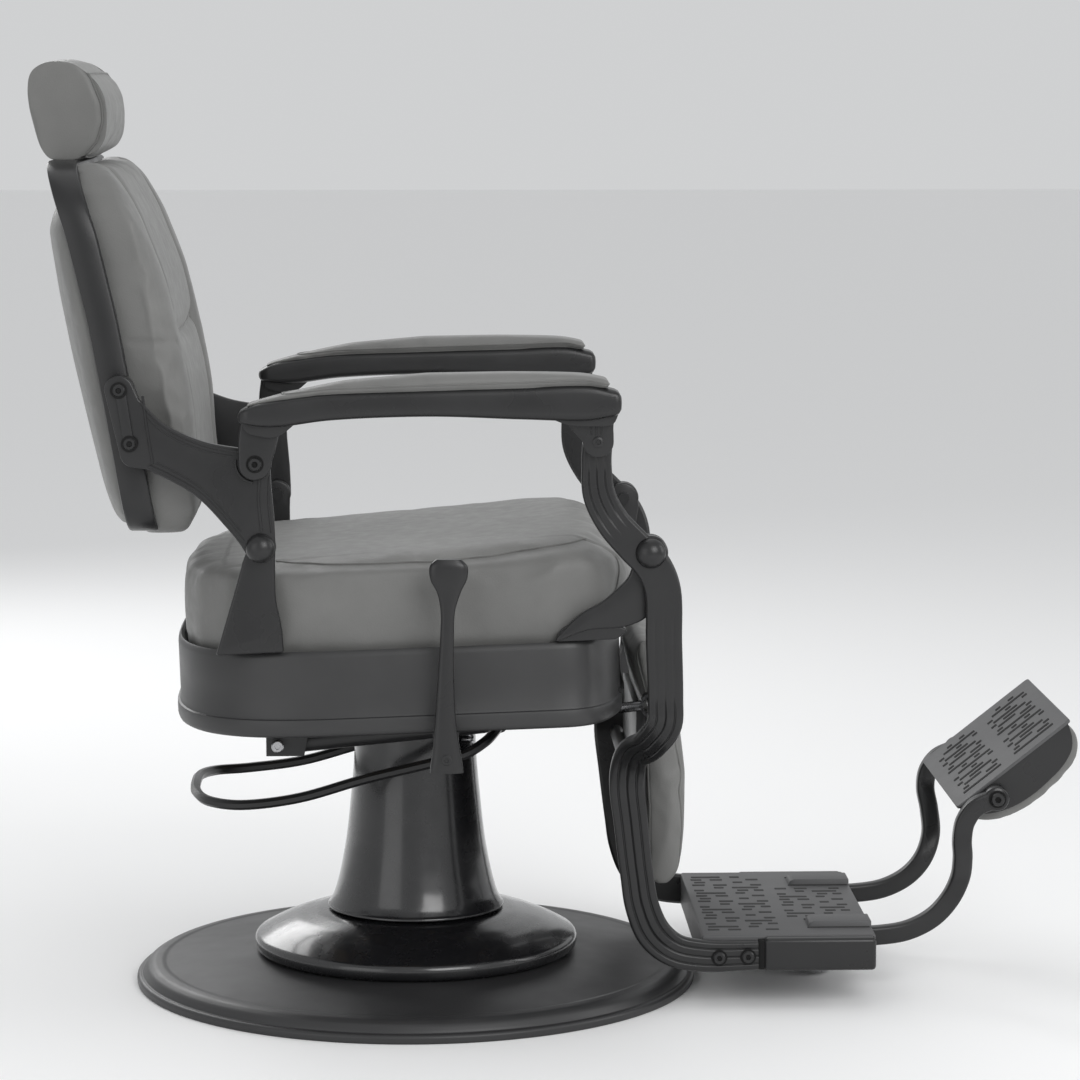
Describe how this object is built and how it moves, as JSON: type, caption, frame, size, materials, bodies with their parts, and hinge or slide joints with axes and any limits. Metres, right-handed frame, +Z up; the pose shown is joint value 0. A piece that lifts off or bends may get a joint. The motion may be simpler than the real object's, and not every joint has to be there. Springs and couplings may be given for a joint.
{
  "type": "hydraulic barber chair",
  "caption": "Barber chair on a round hydraulic pedestal: swivelling padded seat, reclining back with linked arms and footrest, sliding headrest and flip-over toe pad.",
  "frame": {"origin": "on the floor under the centre of the round base", "axes": "+Z up, -Y towards the front of the chair (the way the sitter faces), +X towards the sitter's left"},
  "size_m": [0.66, 1.2006, 1.082],
  "materials": {
    "cast_base": "satin",
    "rubber_black": "matte",
    "gloss_black": "gloss",
    "satin_black": "satin",
    "black_casting": "satin",
    "tread_grey": "satin",
    "chromed_steel": "polished",
    "bright_steel": "satin",
    "leather_grey": "satin",
    "plywood": "matte"
  },
  "bodies": {
    "base": {"base_plate": "cast_base", "base_gasket": "rubber_black", "pump_flange": "gloss_black", "column_cover": "gloss_black", "lift_cylinder": "satin_black"},
    "ram": {"lift_ram": "chromed_steel", "swivel_bearing": "bright_steel"},
    "seat": {"swivel_hub": "satin_black", "seat_frame": "satin_black", "seat_shell": "black_casting", "seat_board": "plywood", "seat_cushion": "leather_grey", "rear_upright_right": "black_casting", "rear_upright_left": "black_casting", "front_bracket_right": "black_casting", "front_bracket_left": "black_casting", "rear_pivot_bolt_right": "satin_black", "rear_pivot_bolt_left": "satin_black", "front_pivot_bolt_right": "satin_black", "front_pivot_bolt_left": "satin_black", "cylinder_bracket": "satin_black", "pedal_bracket": "satin_black", "lever_bracket": "satin_black", "pedal_spring": "bright_steel"},
    "back": {"back_frame": "black_casting", "headrest_guide": "bright_steel", "back_cushion": "leather_grey", "back_rear_panel": "leather_grey", "back_bracket_right": "black_casting", "back_bracket_left": "black_casting", "back_screw_plate_right": "satin_black", "back_screw_plate_left": "satin_black", "arm_rear_bolt_right": "satin_black", "arm_rear_bolt_left": "satin_black"},
    "headrest": {"headrest_bar": "bright_steel", "headrest_cushion": "leather_grey"},
    "arm_right": {"armrest_frame_right": "black_casting", "armrest_pad_right": "leather_grey"},
    "arm_left": {"armrest_frame_left": "black_casting", "armrest_pad_left": "leather_grey"},
    "footrest": {"leg_right": "black_casting", "leg_left": "black_casting", "leg_screw_plate_right": "satin_black", "leg_screw_plate_left": "satin_black", "arm_front_bolt_right": "satin_black", "arm_front_bolt_left": "satin_black", "footrest_strap_right": "black_casting", "footrest_strap_left": "black_casting", "toe_bolt_right": "satin_black", "toe_bolt_left": "satin_black", "footplate": "tread_grey", "foot_glide": "bright_steel", "calf_bracket": "satin_black", "calf_pad": "leather_grey"},
    "toe_pad": {"toe_frame": "tread_grey", "toe_cushion": "leather_grey"},
    "pedal": {"pump_pedal": "satin_black"},
    "lever": {"recline_lever": "satin_black"},
    "cylinder": {"recline_cylinder": "satin_black"},
    "cylinder_rod": {"recline_rod": "chromed_steel"}
  },
  "joints": [
    {"name": "lift", "type": "slide", "parent": "base", "child": "ram", "axis": [0, 0, 1], "range_m": [0, 0.16]},
    {"name": "swivel", "type": "hinge", "parent": "ram", "child": "seat", "pos_m": [0, 0, 0.324], "axis": [0, 0, 1], "continuous": true},
    {"name": "recline", "type": "hinge", "parent": "seat", "child": "back", "pos_m": [0, 0.1695, 0.547], "axis": [-1, 0, 0], "range_deg": [0, 32]},
    {"name": "footrest_swing", "type": "hinge", "parent": "seat", "child": "footrest", "pos_m": [0, -0.26, 0.54], "axis": [-1, 0, 0], "range_deg": [0, 26.2]},
    {"name": "arm_right_link", "type": "hinge", "parent": "back", "child": "arm_right", "pos_m": [-0.2895, 0.174, 0.641], "axis": [-1, 0, 0], "range_deg": [-35.6, 0]},
    {"name": "arm_left_link", "type": "hinge", "parent": "back", "child": "arm_left", "pos_m": [0.2895, 0.174, 0.641], "axis": [-1, 0, 0], "range_deg": [-35.6, 0]},
    {"name": "cylinder_swing", "type": "hinge", "parent": "seat", "child": "cylinder", "pos_m": [-0.156, 0.156, 0.308], "axis": [-1, 0, 0], "range_deg": [0, 1.5]},
    {"name": "cylinder_stroke", "type": "slide", "parent": "cylinder", "child": "cylinder_rod", "axis": [0, -0.9952, 0.0977], "range_m": [0, 0.0855]},
    {"name": "headrest_height", "type": "slide", "parent": "back", "child": "headrest", "axis": [0, 0.27, 0.9629], "range_m": [0, 0.08]},
    {"name": "toe_pad_flip", "type": "hinge", "parent": "footrest", "child": "toe_pad", "pos_m": [0, -0.6655, 0.2395], "axis": [-1, 0, 0], "range_deg": [0, 150]},
    {"name": "pump", "type": "hinge", "parent": "seat", "child": "pedal", "pos_m": [0, -0.098, 0.308], "axis": [-1, 0, 0], "range_deg": [0, 12], "stiffness_Nm_per_rad": 8, "springref_deg": -28.65, "deforming": ["pedal_spring"]},
    {"name": "recline_lever_swing", "type": "hinge", "parent": "seat", "child": "lever", "pos_m": [-0.236, -0.034, 0.312], "axis": [-1, 0, 0], "range_deg": [-18, 18], "stiffness_Nm_per_rad": 12}
  ],
  "couplings": [
    {"joint": "footrest_swing", "follows": "recline", "ratio": 0.8133},
    {"joint": "arm_right_link", "follows": "recline", "ratio": -1.1039},
    {"joint": "arm_left_link", "follows": "recline", "ratio": -1.1039},
    {"joint": "cylinder_swing", "follows": "recline", "ratio": 0.0461},
    {"joint": "cylinder_stroke", "follows": "recline", "m_per_rad": 0.1521}
  ]
}
